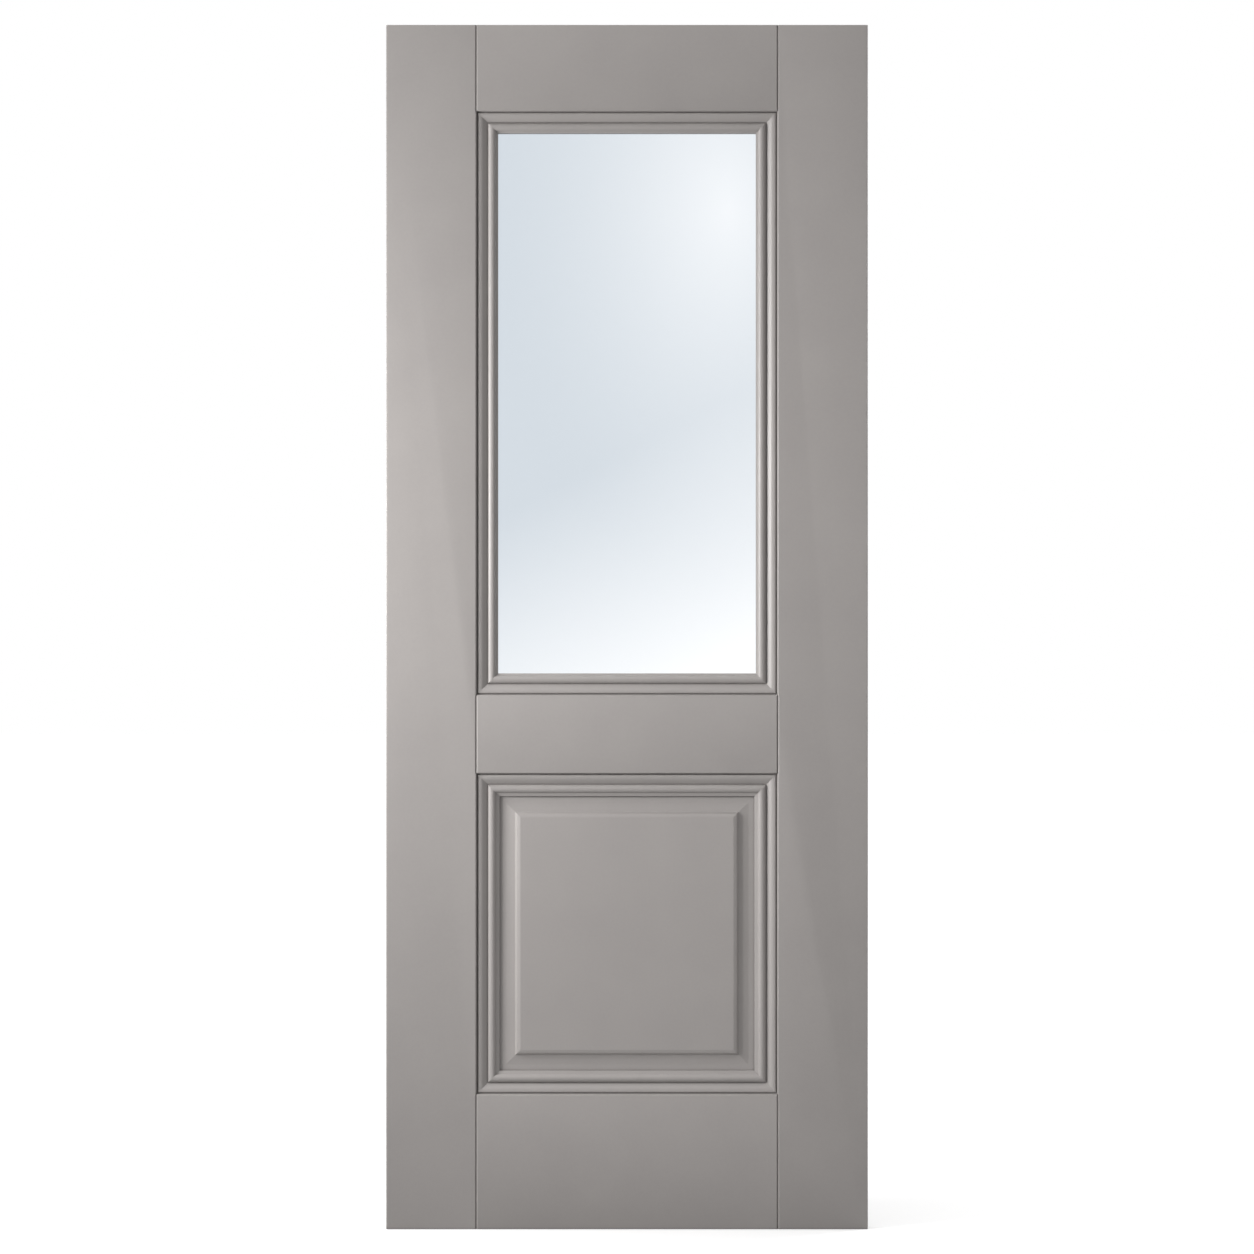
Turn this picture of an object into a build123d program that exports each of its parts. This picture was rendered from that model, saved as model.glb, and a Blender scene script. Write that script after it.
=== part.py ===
from build123d import *
import os

# Half-glazed door leaf. Two stiles and three rails make the frame. A glass pane fills the tall opening
# above the lock rail and a raised, fielded panel the opening below it. Each is held between mitred
# mouldings, a set of four on the front and a set of four on the back.
# x runs across the leaf from its hinge edge, y from the front (negative) to the back, z up from the foot.

# Leaf and frame members
LEAF_WIDTH = 813.0
LEAF_HEIGHT = 2032.0
LEAF_THICKNESS = 35.0
STILE_WIDTH = 152.0
BOTTOM_RAIL_HEIGHT = 227.0
LOCK_RAIL_HEIGHT = 132.0
TOP_RAIL_HEIGHT = 145.0
PANEL_OPENING_HEIGHT = 542.0
EDGE_ROUND = 2.0
JOINT_BEVEL = 2.0
OPENING_ARRIS = 1.2

# Moulding profile, from the frame inward: a wall down, a roll up to the crest, a round shoulder, a straight
# splay, a quirk, a bead about its own crest and a fillet that falls a little towards the opening
WALL_WIDTH = 1.8
WALL_DROP = 5.3
ROLL_WIDTH = 3.2
ROLL_RISE = 3.0
SHOULDER_WIDTH = 7.0
SHOULDER_DROP = 2.1
SPLAY_WIDTH = 5.8
QUIRK_WIDTH = 1.4
BEAD_CREST_DEPTH = 4.9
BEAD_OUTER_WIDTH = 7.2
BEAD_OUTER_DROP = 5.6
BEAD_INNER_WIDTH = 6.8
BEAD_INNER_DROP = 5.1
FILLET_FALL = 0.25
GLAZING_FILLET = 3.3
PANEL_FILLET = 5.8

# Glass pane, clamped between the glazing mouldings with room at its edges
GLASS_THICKNESS = 4.0
GLASS_EDGE_ROOM = 2.0

# Raised panel, its tongue held in a groove of the frame, and the fielding that climbs from tongue to field
PANEL_THICKNESS = 24.0
TONGUE_THICKNESS = 5.0
TONGUE_MARGIN = 10.0
SLOPE_WIDTH = 16.5
SLOPE_RISE = 2.4
STEP_WIDTH = 3.5
STEP_RISE = 5.4
FIELD_BEVEL_WIDTH = 5.5
GROOVE_DEPTH = 9.0
GROOVE_SIDE_CLEARANCE = 0.2
GROOVE_END_ROOM = 1.5

# Places worked out from the sizes above
HALF_THICKNESS = LEAF_THICKNESS / 2
OPENING_WIDTH = LEAF_WIDTH - 2 * STILE_WIDTH
MIDDLE_X = LEAF_WIDTH / 2
PANEL_LOW = BOTTOM_RAIL_HEIGHT
PANEL_HIGH = PANEL_LOW + PANEL_OPENING_HEIGHT
GLASS_LOW = PANEL_HIGH + LOCK_RAIL_HEIGHT
GLASS_HIGH = LEAF_HEIGHT - TOP_RAIL_HEIGHT
GROOVE_WIDTH = TONGUE_THICKNESS + 2 * GROOVE_SIDE_CLEARANCE
CREST_X = WALL_WIDTH + ROLL_WIDTH
BEAD_CREST_X = CREST_X + SHOULDER_WIDTH + SPLAY_WIDTH + QUIRK_WIDTH + BEAD_OUTER_WIDTH
PANEL_MOULDING_WIDTH = BEAD_CREST_X + BEAD_INNER_WIDTH + PANEL_FILLET

# Each face of the leaf, with the way it looks along y
FACES = {"front": -1, "back": 1}
# Each side of an opening, with the way into the opening along x and z
SIDES = {"top": (0, -1), "bottom": (0, 1), "left": (1, 0), "right": (-1, 0)}


def finish(part, label):
    """Name a piece and write it to its own file."""
    part.label = label
    export_step(part, f"parts/{label}.step")


def cut_bevel(size, corners):
    """Diamonds on the corners of a section: run along the piece, each takes off a bevel of that size."""
    with Locations(*corners):
        RegularPolygon(size, 4)


def build_rail(low, high, plain_edge=None, grooved_edge=None):
    """A rail between the stiles, bevelled at both ends, with the panel's groove along its grooved edge."""
    edges = [z for z in (plain_edge, grooved_edge) if z is not None]
    arrises = [(facing * HALF_THICKNESS, z) for z in edges for facing in FACES.values()]
    with BuildPart() as rail:
        with BuildSketch(Plane.XY.offset(low)) as section:
            with Locations((MIDDLE_X, 0)):
                Rectangle(OPENING_WIDTH, LEAF_THICKNESS)
            chamfer(section.vertices(), JOINT_BEVEL)
        extrude(amount=high - low)
        with BuildSketch(Plane.YZ.offset(STILE_WIDTH)):
            cut_bevel(OPENING_ARRIS, arrises)
            if grooved_edge is not None:
                with Locations((0, grooved_edge)):
                    Rectangle(GROOVE_WIDTH, 2 * GROOVE_DEPTH)
        extrude(amount=OPENING_WIDTH, mode=Mode.SUBTRACT)
    return rail.part


def side_plane(low, high, side, facing):
    """Plane on a face of the leaf, at the middle of one side of an opening, its y axis into the opening."""
    across, up = SIDES[side]
    inward = Vector(across, 0, up)
    outward = Vector(0, facing, 0)
    middle = Vector(
        MIDDLE_X - across * OPENING_WIDTH / 2,
        facing * HALF_THICKNESS,
        (low + high) / 2 - up * (high - low) / 2,
    )
    return Plane(origin=middle, x_dir=inward.cross(outward), z_dir=outward)


def moulding_profile(fillet_width, seat_depth):
    """Section of a moulding: x runs inward from the frame, y is height, zero at the leaf's face."""
    with BuildSketch() as profile:
        with BuildLine():
            back = Line((0, -seat_depth), (0, -OPENING_ARRIS))
            wall = Line(back @ 1, back @ 1 + Vector(WALL_WIDTH, -WALL_DROP))
            crest = wall @ 1 + Vector(ROLL_WIDTH, ROLL_RISE)
            TangentArc(crest, wall @ 1, tangent=(-1, 0))
            shoulder = TangentArc(crest, crest + Vector(SHOULDER_WIDTH, -SHOULDER_DROP), tangent=(1, 0))
            tilt = shoulder % 1
            splay = Line(shoulder @ 1, shoulder @ 1 + tilt * (SPLAY_WIDTH / tilt.X))
            bead_crest = Vector(BEAD_CREST_X, -BEAD_CREST_DEPTH)
            outer = TangentArc(
                bead_crest, bead_crest - Vector(BEAD_OUTER_WIDTH, BEAD_OUTER_DROP), tangent=(-1, 0)
            )
            Line(splay @ 1, outer @ 1)
            inner = TangentArc(
                bead_crest, bead_crest + Vector(BEAD_INNER_WIDTH, -BEAD_INNER_DROP), tangent=(1, 0)
            )
            fillet_edge = inner @ 1 + Vector(fillet_width, -fillet_width * FILLET_FALL)
            Polyline(inner @ 1, fillet_edge, (fillet_edge.X, -seat_depth), back @ 0)
        make_face()
    return profile.sketch


def build_moulding(plane, run, fillet_width, seat_depth):
    """One side of a moulding: the profile run along the frame, with a mitre at both ends."""
    start = Plane(origin=plane.origin - plane.x_dir * (run / 2), x_dir=plane.y_dir, z_dir=plane.x_dir)
    with BuildPart() as moulding:
        with BuildSketch(start):
            add(moulding_profile(fillet_width, seat_depth))
        extrude(amount=run)
        with BuildSketch(plane):
            Polygon((-run / 2, 0), (run / 2, 0), (0, run / 2))
        extrude(amount=-LEAF_THICKNESS, mode=Mode.INTERSECT)
    return moulding.part


def build_mouldings(kind, low, high, fillet_width, held_thickness):
    """The eight mouldings of an opening, seated on both faces of what they hold."""
    seat_depth = (LEAF_THICKNESS - held_thickness) / 2
    for face, facing in FACES.items():
        for side, (across, up) in SIDES.items():
            run = OPENING_WIDTH if up else high - low
            plane = side_plane(low, high, side, facing)
            moulding = build_moulding(plane, run, fillet_width, seat_depth)
            finish(moulding, f"{face}_{kind}_moulding_{side}")


def panel_section(opening):
    """Section of the panel across an opening, alike at both edges and on both faces."""
    edge = opening / 2 + GROOVE_DEPTH - GROOVE_END_ROOM
    slope_foot = opening / 2 - PANEL_MOULDING_WIDTH - TONGUE_MARGIN
    slope_head = slope_foot - SLOPE_WIDTH
    step_head = slope_head - STEP_WIDTH
    field = step_head - FIELD_BEVEL_WIDTH
    tongue_height = TONGUE_THICKNESS / 2
    slope_height = tongue_height + SLOPE_RISE
    with BuildSketch() as section:
        with BuildLine():
            Polyline(
                (edge, 0),
                (edge, tongue_height),
                (slope_foot, tongue_height),
                (slope_head, slope_height),
                (step_head, slope_height + STEP_RISE),
                (field, PANEL_THICKNESS / 2),
                (0, PANEL_THICKNESS / 2),
            )
            mirror(about=Plane.YZ)
            mirror(about=Plane.XZ)
        make_face()
    return section.sketch


os.makedirs("parts", exist_ok=True)

# Stiles, with a V-joint against each rail, an eased arris along each opening and the groove for the panel
with BuildPart() as left_stile:
    with BuildSketch() as stile_section:
        with Locations((STILE_WIDTH / 2, 0)):
            Rectangle(STILE_WIDTH, LEAF_THICKNESS)
        fillet(stile_section.vertices().group_by(Axis.X)[0], EDGE_ROUND)
    extrude(amount=LEAF_HEIGHT)
    inner_corners = [(STILE_WIDTH, facing * HALF_THICKNESS) for facing in FACES.values()]
    for low, high in ((0, PANEL_LOW), (PANEL_HIGH, GLASS_LOW), (GLASS_HIGH, LEAF_HEIGHT)):
        with BuildSketch(Plane.XY.offset(low)):
            cut_bevel(JOINT_BEVEL, inner_corners)
        extrude(amount=high - low, mode=Mode.SUBTRACT)
    for low, high in ((PANEL_LOW, PANEL_HIGH), (GLASS_LOW, GLASS_HIGH)):
        with BuildSketch(Plane.XY.offset(low)):
            cut_bevel(OPENING_ARRIS, inner_corners)
        extrude(amount=high - low, mode=Mode.SUBTRACT)
    with BuildSketch(Plane.XY.offset(PANEL_LOW - GROOVE_DEPTH)):
        with Locations((STILE_WIDTH, 0)):
            Rectangle(2 * GROOVE_DEPTH, GROOVE_WIDTH)
    extrude(amount=PANEL_OPENING_HEIGHT + 2 * GROOVE_DEPTH, mode=Mode.SUBTRACT)
finish(left_stile.part, "left_stile")

with BuildPart() as right_stile:
    mirror(left_stile.part, about=Plane.YZ.offset(MIDDLE_X))
finish(right_stile.part, "right_stile")

# Rails
finish(build_rail(GLASS_HIGH, LEAF_HEIGHT, plain_edge=GLASS_HIGH), "top_rail")
finish(build_rail(PANEL_HIGH, GLASS_LOW, plain_edge=GLASS_LOW, grooved_edge=PANEL_HIGH), "lock_rail")
finish(build_rail(0, PANEL_LOW, grooved_edge=PANEL_LOW), "bottom_rail")

# Glass pane
with BuildPart() as glass_pane:
    with BuildSketch(Plane.XZ):
        with Locations((MIDDLE_X, (GLASS_LOW + GLASS_HIGH) / 2)):
            Rectangle(OPENING_WIDTH - 2 * GLASS_EDGE_ROOM, GLASS_HIGH - GLASS_LOW - 2 * GLASS_EDGE_ROOM)
    extrude(amount=GLASS_THICKNESS / 2, both=True)
finish(glass_pane.part, "glass_pane")

# Raised panel: the section across the width met by the section up the height, which mitres the fielding
panel_middle_z = (PANEL_LOW + PANEL_HIGH) / 2
across_foot = Plane(origin=(MIDDLE_X, 0, PANEL_LOW - GROOVE_DEPTH), x_dir=(1, 0, 0), z_dir=(0, 0, 1))
up_side = Plane(origin=(STILE_WIDTH - GROOVE_DEPTH, 0, panel_middle_z), x_dir=(0, 0, 1), z_dir=(1, 0, 0))
with BuildPart() as raised_panel:
    with BuildSketch(across_foot):
        add(panel_section(OPENING_WIDTH))
    extrude(amount=PANEL_OPENING_HEIGHT + 2 * GROOVE_DEPTH)
    with BuildSketch(up_side):
        add(panel_section(PANEL_OPENING_HEIGHT))
    extrude(amount=OPENING_WIDTH + 2 * GROOVE_DEPTH, mode=Mode.INTERSECT)
finish(raised_panel.part, "raised_panel")

# Mouldings
build_mouldings("glazing", GLASS_LOW, GLASS_HIGH, GLAZING_FILLET, GLASS_THICKNESS)
build_mouldings("panel", PANEL_LOW, PANEL_HIGH, PANEL_FILLET, TONGUE_THICKNESS)
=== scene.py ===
"""Glazed door leaf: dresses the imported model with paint, glass and finely worked mouldings."""
import math

import bmesh
import bpy
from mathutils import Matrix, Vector


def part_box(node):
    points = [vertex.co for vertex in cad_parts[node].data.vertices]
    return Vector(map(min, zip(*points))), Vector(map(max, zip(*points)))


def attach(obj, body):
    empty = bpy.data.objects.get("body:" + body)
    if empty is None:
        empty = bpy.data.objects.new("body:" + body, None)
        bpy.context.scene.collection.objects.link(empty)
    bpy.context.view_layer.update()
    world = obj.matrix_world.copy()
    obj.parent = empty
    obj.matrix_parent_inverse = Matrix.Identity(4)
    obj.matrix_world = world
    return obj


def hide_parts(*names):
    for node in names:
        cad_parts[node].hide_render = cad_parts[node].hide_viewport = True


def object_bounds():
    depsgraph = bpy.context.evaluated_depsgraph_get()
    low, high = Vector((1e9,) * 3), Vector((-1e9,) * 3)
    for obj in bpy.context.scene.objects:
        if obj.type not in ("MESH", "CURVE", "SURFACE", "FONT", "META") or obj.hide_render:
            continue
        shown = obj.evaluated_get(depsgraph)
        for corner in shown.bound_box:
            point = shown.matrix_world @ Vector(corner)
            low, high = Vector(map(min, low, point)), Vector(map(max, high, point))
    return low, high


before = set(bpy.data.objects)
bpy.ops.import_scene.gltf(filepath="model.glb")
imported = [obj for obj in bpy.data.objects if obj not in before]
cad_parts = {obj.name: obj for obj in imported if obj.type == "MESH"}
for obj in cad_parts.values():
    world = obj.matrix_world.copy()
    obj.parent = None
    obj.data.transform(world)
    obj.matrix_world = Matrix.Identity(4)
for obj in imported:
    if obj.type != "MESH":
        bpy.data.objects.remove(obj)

CAD_LOW, CAD_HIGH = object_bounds()
MM = 0.001

# The leaf, read from the frame
_, STILE_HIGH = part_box("left_stile")
HALF_THICKNESS = STILE_HIGH.y
LEAF_CENTRE = (CAD_LOW + CAD_HIGH) / 2
FRAME_MEMBERS = ("left_stile", "right_stile", "top_rail", "lock_rail", "bottom_rail")

# Section of the mouldings in millimetres, across from the frame and down from its face
WALL = (1.8, 5.3)
ROLL = (3.2, 3.0)
SHOULDER = (7.0, 2.1)
SPLAY_WIDTH = 5.8
QUIRK_WIDTH = 1.4
BEAD_CREST_DEPTH = 4.9
BEAD_OUTER = (7.2, 5.6)
BEAD_INNER = (6.8, 5.1)
FILLET_FALL = 0.25
CORNER_ROUND = 0.35
# Steps along its curves, the least turn that is rounded, and the most of a line that a rounding takes
ROLL_STEPS = 8
SHOULDER_STEPS = 12
BEAD_STEPS = 18
ROUND_STEPS = 3
LEAST_TURN = math.radians(18)
MOST_OF_LINE = 0.45
MOULDING_SMOOTH = math.radians(30)

# Eased arrises of the frame members and the raised panel, in metres, and the least angle that is eased
ARRIS_ROUND = 0.35 * MM
ARRIS_ANGLE = math.radians(25)
PANEL_ROUND = 0.6 * MM
PANEL_ANGLE = math.radians(6)
EASE_SEGMENTS = 3
WELD_REACH = 0.01 * MM
FLAT_ANGLE = math.radians(0.5)

# Paint: two close colours, blended by clouds and fine specks
PAINT_PALE = (0.366, 0.343, 0.331, 1.0)
PAINT_DEEP = (0.344, 0.322, 0.312, 1.0)
CLOUD_SCALE = 9.0
SPECK_SCALE = 260.0
SPECK_SHARE = 0.45
BLEND_SPAN = (0.45, 1.0)
# Its sheen and orange peel
SHEEN_SCALE = 30.0
SHEEN_SPAN = (0.3, 0.7)
PAINT_ROUGHNESS = (0.36, 0.40)
PAINT_IOR = 1.5
PAINT_SPECULAR = 0.36
PEEL_SCALE = 420.0
PEEL_STRENGTH = 0.1
PEEL_HEIGHT = 0.06 * MM
# Painted shade, a darker colour in the crevices: how far a corner reaches, its openness from and to, and its
# shade
CAVITY_REACH = 6 * MM
CAVITY_SAMPLES = 8
CAVITY_OPENNESS = (0.45, 0.82)
CAVITY_SHADE = 0.68

# Glass
GLASS_TINT = (0.652, 0.711, 0.769, 1.0)
GLASS_IOR = 1.5
WAVE_SCALE = 5.0
WAVE_STRENGTH = 0.2
WAVE_HEIGHT = 0.05 * MM

# Camera: the photograph is square, and its frame spans this much of the leaf's front face
FRAME_SPAN = 2.116
CAMERA_DISTANCE = 6.5
SENSOR = 36.0

# Square lamps: place and side in metres, power in watts, beam in degrees and aim
MIDDLE_AIM = (0.40, 0.0, 1.05)
LAMPS = {
    "near_key": ((-1.10, -0.55, 1.22), 0.4, 18.8, 180, MIDDLE_AIM),
    "side_key": ((-7.96, -4.83, 3.64), 1.0, 144.0, 180, MIDDLE_AIM),
    "high_key": ((-2.56, -1.71, 10.45), 1.0, 71.0, 180, MIDDLE_AIM),
    "far_fill": ((-3.40, -2.40, 1.70), 0.5, 7.5, 50, (0.95, 0.0, 1.1)),
    "rear_key": ((3.60, 2.40, 2.40), 1.6, 85.0, 180, MIDDLE_AIM),
}
# Soft light of the room, none at the horizon and this much overhead
OVERHEAD = 1.09

# Floor: its half side and drop in metres, and its colour as seen and as it lights the leaf
FLOOR_HALF_SIDE = 30.0
FLOOR_DROP = 0.0005
FLOOR_SEEN = (0.8, 0.8, 0.8, 1.0)
FLOOR_LIGHTING = (0.4, 0.4, 0.4, 1.0)
# Its own light to the eye, near the leaf and far off, on top of the light that falls on it
FLOOR_NEAR = 0.25
FLOOR_FAR = 0.45
FLOOR_SPAN = (1.5, 5.0)

# Backdrop seen through the pane alone: white, with a painted warm glow high on the right and a painted bank of
# light low down, that stand in for reflections in the pane.
# Places are those on the pane where they show to the camera.
BACKDROP_Y = 0.30
BACKDROP_SIZE = (1.6, 2.0)
BACKDROP_FADE = 0.2
BACKDROP_WARMTH = (1.0, 0.814, 0.665, 1.0)
GLOW_CENTRE = (0.578, 1.723)
GLOW_REACH = (0.406, 0.633)
GLOW_LIGHT = 0.43
GLOW_FALLOFF = 1.6
BANK_TOP = 1.315
BANK_SLOPE = 0.52
BANK_LIGHT = 1.43
BANK_FALLOFF = 1.1


# Curves of the section

def arc_from_crest(crest, width, drop, steps):
    """Points on the arc that leaves a crest level and ends that far across and down, both ends included."""
    radius = (width ** 2 + drop ** 2) / (2 * drop)
    end = math.asin(width / radius)
    points = []
    for i in range(steps + 1):
        angle = end * i / steps
        across = crest[0] + radius * math.sin(angle)
        down = crest[1] + radius * (1 - math.cos(angle))
        points.append((across, down))
    return points


def round_corners(points, radius):
    """Rounds the open line's sharp corners, as a coat of paint does."""
    made = [points[0]]
    for before, corner, after in zip(points, points[1:], points[2:]):
        b, k, a = Vector(before), Vector(corner), Vector(after)
        way_in, way_out = (k - b).normalized(), (a - k).normalized()
        turn = way_in.angle_signed(way_out)
        if abs(turn) < LEAST_TURN:
            made.append(corner)
            continue
        most_in, most_out = MOST_OF_LINE * (k - b).length, MOST_OF_LINE * (a - k).length
        back = min(radius * math.tan(abs(turn) / 2), most_in, most_out)
        first, last = k - way_in * back, k + way_out * back
        for i in range(ROUND_STEPS + 1):
            t = i / ROUND_STEPS
            made.append(tuple(first * (1 - t) ** 2 + k * 2 * t * (1 - t) + last * t * t))
    made.append(points[-1])
    return made


def moulding_section(width, start, seat):
    """Closed section of a moulding in metres, for its width and the depths it starts and is bedded at."""
    top, foot = start / MM, start / MM + WALL[1]
    crest = (WALL[0] + ROLL[0], foot - ROLL[1])
    line = [(0.0, top)]
    line += arc_from_crest(crest, -ROLL[0], ROLL[1], ROLL_STEPS)[::-1]
    line += arc_from_crest(crest, *SHOULDER, SHOULDER_STEPS)[1:]
    tilt = 2 * math.atan2(SHOULDER[1], SHOULDER[0])
    line += [(line[-1][0] + SPLAY_WIDTH, line[-1][1] + SPLAY_WIDTH * math.tan(tilt))]
    bead_crest = (line[-1][0] + QUIRK_WIDTH + BEAD_OUTER[0], BEAD_CREST_DEPTH)
    line += arc_from_crest(bead_crest, -BEAD_OUTER[0], BEAD_OUTER[1], BEAD_STEPS)[::-1]
    line += arc_from_crest(bead_crest, *BEAD_INNER, BEAD_STEPS)[1:]
    edge = width / MM
    line += [(edge, line[-1][1] + (edge - line[-1][0]) * FILLET_FALL), (edge, seat / MM)]
    line = round_corners(line, CORNER_ROUND)
    line += [(0.0, seat / MM)]
    return [(u * MM, d * MM) for u, d in line]


# Pieces

def add_object(bm, name):
    """An object made from the bmesh, which is used up."""
    mesh = bpy.data.meshes.new(name)
    bm.to_mesh(mesh)
    bm.free()
    obj = bpy.data.objects.new(name, mesh)
    bpy.context.scene.collection.objects.link(obj)
    return obj


def make_square(name, half_side):
    bm = bmesh.new()
    bmesh.ops.create_grid(bm, x_segments=1, y_segments=1, size=half_side)
    return add_object(bm, name)


def shade_smooth(obj):
    for polygon in obj.data.polygons:
        polygon.use_smooth = True


def make_moulding(face, kind, side, material):
    """One mitred length of moulding on one face, in place of its CAD solid."""
    node = f"{face}_{kind}_moulding_{side}"
    low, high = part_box(node)
    across, along = ("x", "z") if side in ("left", "right") else ("z", "x")
    inward = 1 if side in ("left", "bottom") else -1
    wall = getattr(low if inward > 0 else high, across)
    start, end = getattr(low, along), getattr(high, along)
    width = getattr(high, across) - getattr(low, across)
    outward = -1 if face == "front" else 1
    depths = [HALF_THICKNESS - abs(y) for y in (low.y, high.y)]
    section = moulding_section(width, min(depths), max(depths))
    bm = bmesh.new()
    rings = []
    for place, mitre in ((start, 1), (end, -1)):
        ring = []
        for u, d in section:
            point = Vector((0, outward * (HALF_THICKNESS - d), 0))
            setattr(point, across, wall + inward * u)
            setattr(point, along, place + mitre * u)
            ring.append(bm.verts.new(point))
        rings.append(ring)
    count = len(section)
    for i in range(count):
        j = (i + 1) % count
        bm.faces.new((rings[0][i], rings[0][j], rings[1][j], rings[1][i]))
    bm.faces.new(rings[0])
    bm.faces.new(rings[1])
    bmesh.ops.recalc_face_normals(bm, faces=bm.faces)
    obj = add_object(bm, f"{node}_fine")
    obj.data.materials.append(material)
    shade_smooth(obj)
    obj.data.set_sharp_from_angle(angle=MOULDING_SMOOTH)
    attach(obj, "root")
    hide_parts(node)


def ease_edges(obj, width, angle):
    """Rounds a CAD node's sharp edges a little, by modifiers alone."""
    weld = obj.modifiers.new("weld", "WELD")
    weld.merge_threshold = WELD_REACH
    flat = obj.modifiers.new("flat", "DECIMATE")
    flat.decimate_type = "DISSOLVE"
    flat.angle_limit = FLAT_ANGLE
    bevel = obj.modifiers.new("ease", "BEVEL")
    bevel.width = width
    bevel.segments = EASE_SEGMENTS
    bevel.limit_method = "ANGLE"
    bevel.angle_limit = angle
    bevel.use_clamp_overlap = True
    bevel.harden_normals = True
    shade_smooth(obj)


def dress(obj, material):
    """Gives a CAD node its material."""
    obj.data.materials.clear()
    obj.data.materials.append(material)


# Nodes of materials

def new_material(name):
    """A material with its nodes, links and Principled shader."""
    material = bpy.data.materials.new(name)
    material.use_nodes = True
    nodes = material.node_tree.nodes
    return material, nodes, material.node_tree.links, nodes["Principled BSDF"]


def bare_tree(owner):
    """The nodes and links of a stage material or the world, emptied."""
    owner.use_nodes = True
    owner.node_tree.nodes.clear()
    return owner.node_tree.nodes, owner.node_tree.links


def noise(nodes, links, coordinates, scale, detail, roughness=0.5):
    node = nodes.new("ShaderNodeTexNoise")
    node.inputs["Scale"].default_value = scale
    node.inputs["Detail"].default_value = detail
    node.inputs["Roughness"].default_value = roughness
    links.new(coordinates, node.inputs["Vector"])
    return node.outputs["Fac"]


def mapped(nodes, links, value, low, high, to_low, to_high):
    node = nodes.new("ShaderNodeMapRange")
    node.inputs["From Min"].default_value = low
    node.inputs["From Max"].default_value = high
    node.inputs["To Min"].default_value = to_low
    node.inputs["To Max"].default_value = to_high
    links.new(value, node.inputs["Value"])
    return node.outputs["Result"]


def math_node(nodes, links, operation, *values):
    """A Math node fed by sockets and plain numbers."""
    node = nodes.new("ShaderNodeMath")
    node.operation = operation
    for socket, value in zip(node.inputs, values):
        if isinstance(value, (int, float)):
            socket.default_value = value
        else:
            links.new(value, socket)
    return node.outputs[0]


def add_bump(nodes, links, shader, height, strength, distance):
    node = nodes.new("ShaderNodeBump")
    node.inputs["Strength"].default_value = strength
    node.inputs["Distance"].default_value = distance
    links.new(height, node.inputs["Height"])
    links.new(node.outputs["Normal"], shader.inputs["Normal"])


def mix_shaders(nodes, links, factor, first, second):
    node = nodes.new("ShaderNodeMixShader")
    links.new(factor, node.inputs[0])
    links.new(first.outputs[0], node.inputs[1])
    links.new(second.outputs[0], node.inputs[2])
    return node


def add_shaders(nodes, links, first, second):
    node = nodes.new("ShaderNodeAddShader")
    links.new(first.outputs[0], node.inputs[0])
    links.new(second.outputs[0], node.inputs[1])
    return node


# Materials

def make_paint():
    """Sprayed satin paint: faint cloudiness, a fine orange peel, and painted shade that darkens its colour in
    crevices.
    """
    material, nodes, links, shader = new_material("satin_paint")
    place = nodes.new("ShaderNodeTexCoord").outputs["Object"]
    cloud = noise(nodes, links, place, CLOUD_SCALE, 3.0)
    speck = noise(nodes, links, place, SPECK_SCALE, 2.0)
    both = math_node(nodes, links, "MULTIPLY_ADD", speck, SPECK_SHARE, cloud)
    colour = nodes.new("ShaderNodeMix")
    colour.data_type = "RGBA"
    colour.inputs["A"].default_value = PAINT_DEEP
    colour.inputs["B"].default_value = PAINT_PALE
    links.new(mapped(nodes, links, both, *BLEND_SPAN, 0.0, 1.0), colour.inputs["Factor"])
    # Painted shade: the colour is darkened where ambient occlusion finds a crevice
    corner = nodes.new("ShaderNodeAmbientOcclusion")
    corner.inputs["Distance"].default_value = CAVITY_REACH
    corner.samples = CAVITY_SAMPLES
    shade = mapped(nodes, links, corner.outputs["AO"], *CAVITY_OPENNESS, CAVITY_SHADE, 1.0)
    crevice_shaded = nodes.new("ShaderNodeVectorMath")
    crevice_shaded.operation = "SCALE"
    links.new(colour.outputs["Result"], crevice_shaded.inputs[0])
    links.new(shade, crevice_shaded.inputs["Scale"])
    links.new(crevice_shaded.outputs[0], shader.inputs["Base Color"])
    sheen = noise(nodes, links, place, SHEEN_SCALE, 3.0)
    links.new(mapped(nodes, links, sheen, *SHEEN_SPAN, *PAINT_ROUGHNESS), shader.inputs["Roughness"])
    peel = noise(nodes, links, place, PEEL_SCALE, 2.0, 0.4)
    add_bump(nodes, links, shader, peel, PEEL_STRENGTH, PEEL_HEIGHT)
    shader.inputs["IOR"].default_value = PAINT_IOR
    shader.inputs["Specular IOR Level"].default_value = PAINT_SPECULAR
    return material


def make_glass():
    """Clear float glass, faintly blue, with the slightest waviness in what it reflects."""
    material, nodes, links, shader = new_material("float_glass")
    place = nodes.new("ShaderNodeTexCoord").outputs["Object"]
    shader.inputs["Base Color"].default_value = GLASS_TINT
    shader.inputs["Transmission Weight"].default_value = 1.0
    shader.inputs["IOR"].default_value = GLASS_IOR
    shader.inputs["Roughness"].default_value = 0.0
    wave = noise(nodes, links, place, WAVE_SCALE, 1.0)
    add_bump(nodes, links, shader, wave, WAVE_STRENGTH, WAVE_HEIGHT)
    return material


# Stage

def white_for_sight(nodes, links):
    """1 for rays that look at a thing, straight, mirrored or through glass, and 0 for rays that light one."""
    path = nodes.new("ShaderNodeLightPath")
    seen = path.outputs["Is Camera Ray"]
    for name in ("Is Glossy Ray", "Is Transmission Ray"):
        seen = math_node(nodes, links, "MAXIMUM", seen, path.outputs[name])
    unlit = math_node(nodes, links, "LESS_THAN", path.outputs["Diffuse Depth"], 0.5)
    return math_node(nodes, links, "MULTIPLY", seen, unlit)


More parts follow.
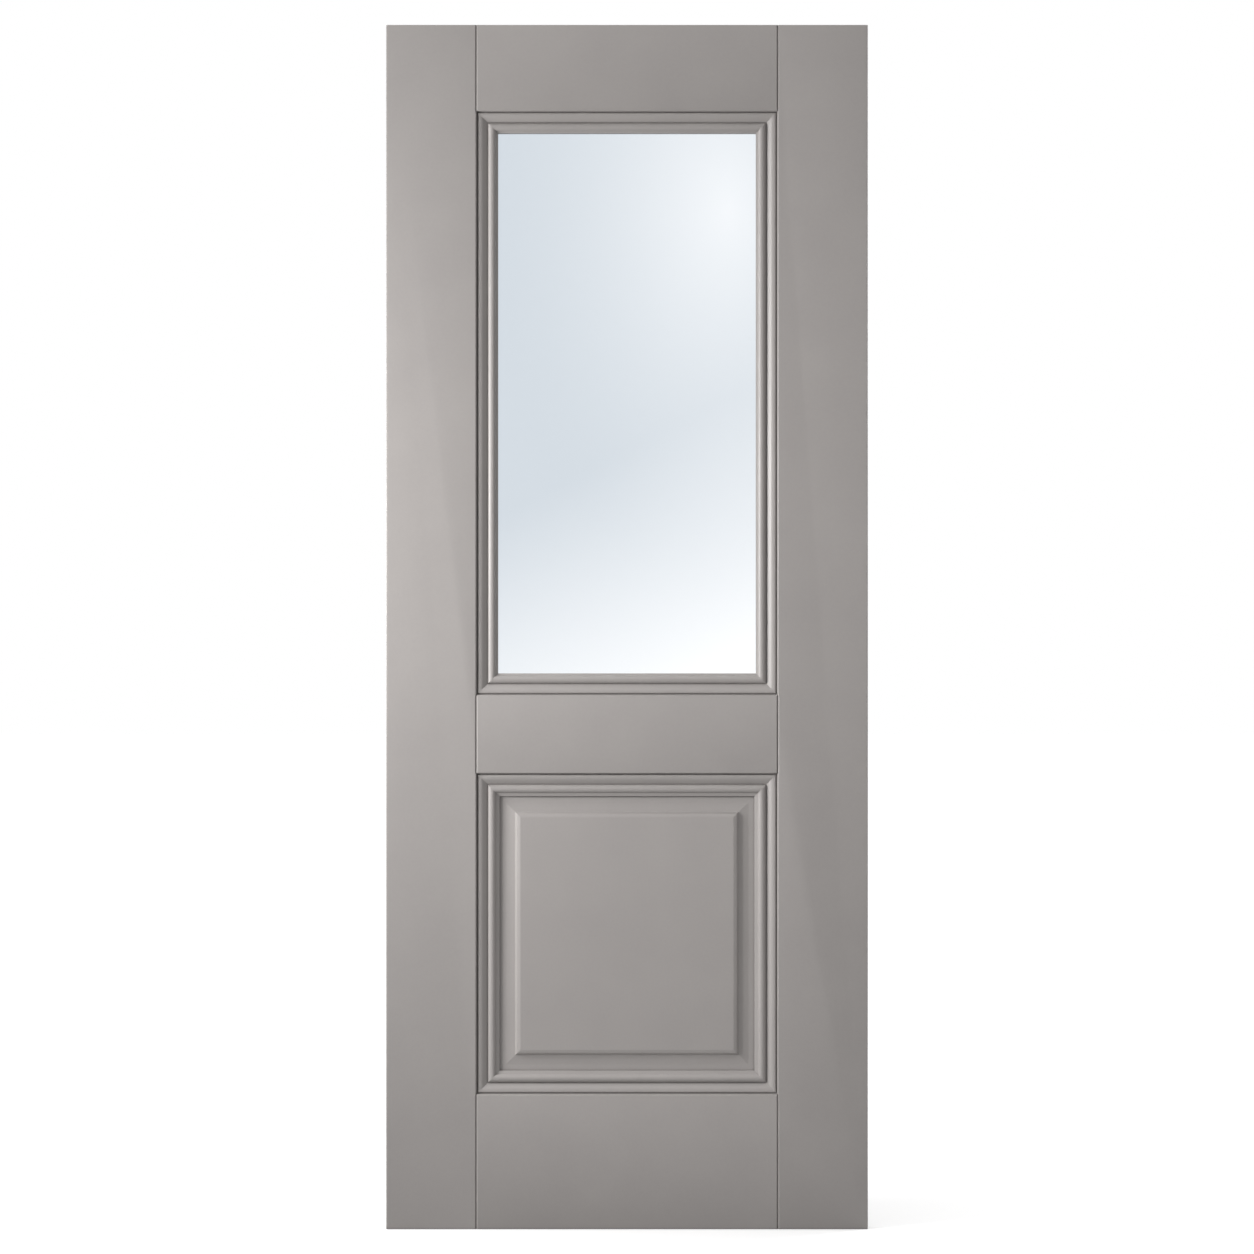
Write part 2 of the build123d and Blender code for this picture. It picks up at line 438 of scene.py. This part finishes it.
def make_floor():
    """A pale floor that keeps the leaf's shadow. Through the pane it is plain white."""
    obj = make_square("floor", FLOOR_HALF_SIDE)
    obj.location = (LEAF_CENTRE.x, 0, CAD_LOW.z - FLOOR_DROP)
    material = bpy.data.materials.new("floor_white")
    nodes, links = bare_tree(material)
    matt = nodes.new("ShaderNodeBsdfDiffuse")
    matt.inputs["Color"].default_value = FLOOR_LIGHTING
    pale = nodes.new("ShaderNodeBsdfDiffuse")
    pale.inputs["Color"].default_value = FLOOR_SEEN
    away = nodes.new("ShaderNodeVectorMath")
    away.operation = "LENGTH"
    links.new(nodes.new("ShaderNodeTexCoord").outputs["Object"], away.inputs[0])
    glow = nodes.new("ShaderNodeEmission")
    light = mapped(nodes, links, away.outputs["Value"], *FLOOR_SPAN, FLOOR_NEAR, FLOOR_FAR)
    links.new(light, glow.inputs["Strength"])
    seen = add_shaders(nodes, links, pale, glow)
    mix = mix_shaders(nodes, links, white_for_sight(nodes, links), matt, seen)
    through_glass = nodes.new("ShaderNodeLightPath").outputs["Is Transmission Ray"]
    either = mix_shaders(nodes, links, through_glass, mix, nodes.new("ShaderNodeEmission"))
    links.new(either.outputs[0], nodes.new("ShaderNodeOutputMaterial").inputs["Surface"])
    material.cycles.emission_sampling = "NONE"
    obj.data.materials.append(material)


def make_world():
    """White to the eye, with a soft overhead light on the object."""
    world = bpy.data.worlds.new("studio")
    nodes, links = bare_tree(world)
    way = nodes.new("ShaderNodeSeparateXYZ")
    links.new(nodes.new("ShaderNodeTexCoord").outputs["Generated"], way.inputs[0])
    soft = nodes.new("ShaderNodeBackground")
    links.new(mapped(nodes, links, way.outputs["Z"], 0.0, 1.0, 0.0, OVERHEAD), soft.inputs["Strength"])
    white = nodes.new("ShaderNodeBackground")
    for node in (soft, white):
        node.inputs["Color"].default_value = (1.0, 1.0, 1.0, 1.0)
    mix = mix_shaders(nodes, links, white_for_sight(nodes, links), soft, white)
    links.new(mix.outputs[0], nodes.new("ShaderNodeOutputWorld").inputs["Surface"])
    world.cycles.sampling_method = "NONE"
    bpy.context.scene.world = world


def make_backdrop():
    """A backdrop behind the pane that glows with painted light, standing in for reflections in the pane. It
    fades to the white of the room at its edges.
    """
    low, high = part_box("glass_pane")
    centre = (low + high) / 2
    spread = (CAMERA_DISTANCE + BACKDROP_Y) / CAMERA_DISTANCE
    obj = make_square("backdrop", 0.5)
    obj.location = (centre.x, BACKDROP_Y, LEAF_CENTRE.z + (centre.z - LEAF_CENTRE.z) * spread)
    obj.rotation_euler = (math.pi / 2, 0, 0)
    obj.scale = (*BACKDROP_SIZE, 1)
    for way in ("camera", "diffuse", "glossy", "volume_scatter", "shadow"):
        setattr(obj, f"visible_{way}", False)
    material = bpy.data.materials.new("backdrop_painted_glow")
    nodes, links = bare_tree(material)

    def work(operation, *values):
        return math_node(nodes, links, operation, *values)

    spot = nodes.new("ShaderNodeSeparateXYZ")
    links.new(nodes.new("ShaderNodeTexCoord").outputs["Generated"], spot.inputs[0])
    half_width, half_height = (side / spread / 2 for side in BACKDROP_SIZE)
    x = mapped(nodes, links, spot.outputs["X"], 0.0, 1.0, centre.x - half_width, centre.x + half_width)
    z = mapped(nodes, links, spot.outputs["Y"], 0.0, 1.0, centre.z - half_height, centre.z + half_height)
    across = work("DIVIDE", work("SUBTRACT", x, GLOW_CENTRE[0]), GLOW_REACH[0])
    up = work("DIVIDE", work("SUBTRACT", z, GLOW_CENTRE[1]), GLOW_REACH[1])
    away = work("SQRT", work("ADD", work("MULTIPLY", across, across), work("MULTIPLY", up, up)))
    near = work("MAXIMUM", work("SUBTRACT", 1.0, away), 0.0)
    glow = work("MULTIPLY", work("POWER", near, GLOW_FALLOFF), GLOW_LIGHT)
    edge = work("MULTIPLY_ADD", work("SUBTRACT", x, centre.x), BANK_SLOPE, BANK_TOP)
    below = work("MAXIMUM", work("SUBTRACT", edge, z), 0.0)
    bank = work("MULTIPLY", work("POWER", below, BANK_FALLOFF), BANK_LIGHT)
    light = work("ADD", glow, bank)
    for side in ("X", "Y"):
        inside = work("PINGPONG", spot.outputs[side], 0.5)
        light = work("MULTIPLY", light, mapped(nodes, links, inside, 0.0, BACKDROP_FADE, 0.0, 1.0))
    # Painted glow: the glow and the bank give light that no lamp gives, seen only through the pane
    warm = nodes.new("ShaderNodeEmission")
    warm.inputs["Color"].default_value = BACKDROP_WARMTH
    links.new(light, warm.inputs["Strength"])
    both = add_shaders(nodes, links, nodes.new("ShaderNodeEmission"), warm)
    links.new(both.outputs[0], nodes.new("ShaderNodeOutputMaterial").inputs["Surface"])
    material.cycles.emission_sampling = "NONE"
    obj.data.materials.append(material)


def make_lamp(name, place, side, power, beam, aim):
    """A square soft lamp that lights and is mirrored, but isn't seen itself."""
    lamp = bpy.data.lights.new(name, "AREA")
    lamp.shape = "SQUARE"
    lamp.size = side
    lamp.energy = power
    lamp.spread = math.radians(beam)
    obj = bpy.data.objects.new(name, lamp)
    obj.location = place
    obj.rotation_mode = "QUATERNION"
    obj.rotation_quaternion = (Vector(aim) - Vector(place)).to_track_quat("-Z", "Y")
    obj.visible_camera = False
    obj.visible_transmission = False
    bpy.context.scene.collection.objects.link(obj)


def make_camera():
    """Square on to the middle of the leaf."""
    data = bpy.data.cameras.new("camera")
    data.sensor_width = SENSOR
    data.lens = SENSOR * (CAMERA_DISTANCE - HALF_THICKNESS) / FRAME_SPAN
    camera = bpy.data.objects.new("camera", data)
    camera.location = (LEAF_CENTRE.x, -CAMERA_DISTANCE, LEAF_CENTRE.z)
    camera.rotation_euler = (math.pi / 2, 0, 0)
    bpy.context.scene.collection.objects.link(camera)
    bpy.context.scene.camera = camera


# The leaf
paint = make_paint()
glass = make_glass()
for name in FRAME_MEMBERS:
    dress(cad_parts[name], paint)
    ease_edges(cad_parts[name], ARRIS_ROUND, ARRIS_ANGLE)
dress(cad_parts["raised_panel"], paint)
ease_edges(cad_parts["raised_panel"], PANEL_ROUND, PANEL_ANGLE)
dress(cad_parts["glass_pane"], glass)
for face in ("front", "back"):
    for kind in ("glazing", "panel"):
        for side in ("top", "bottom", "left", "right"):
            make_moulding(face, kind, side, paint)

# The studio
make_floor()
make_world()
make_backdrop()
for name, lamp in LAMPS.items():
    make_lamp(name, *lamp)
make_camera()
bpy.context.scene.view_settings.view_transform = "Standard"
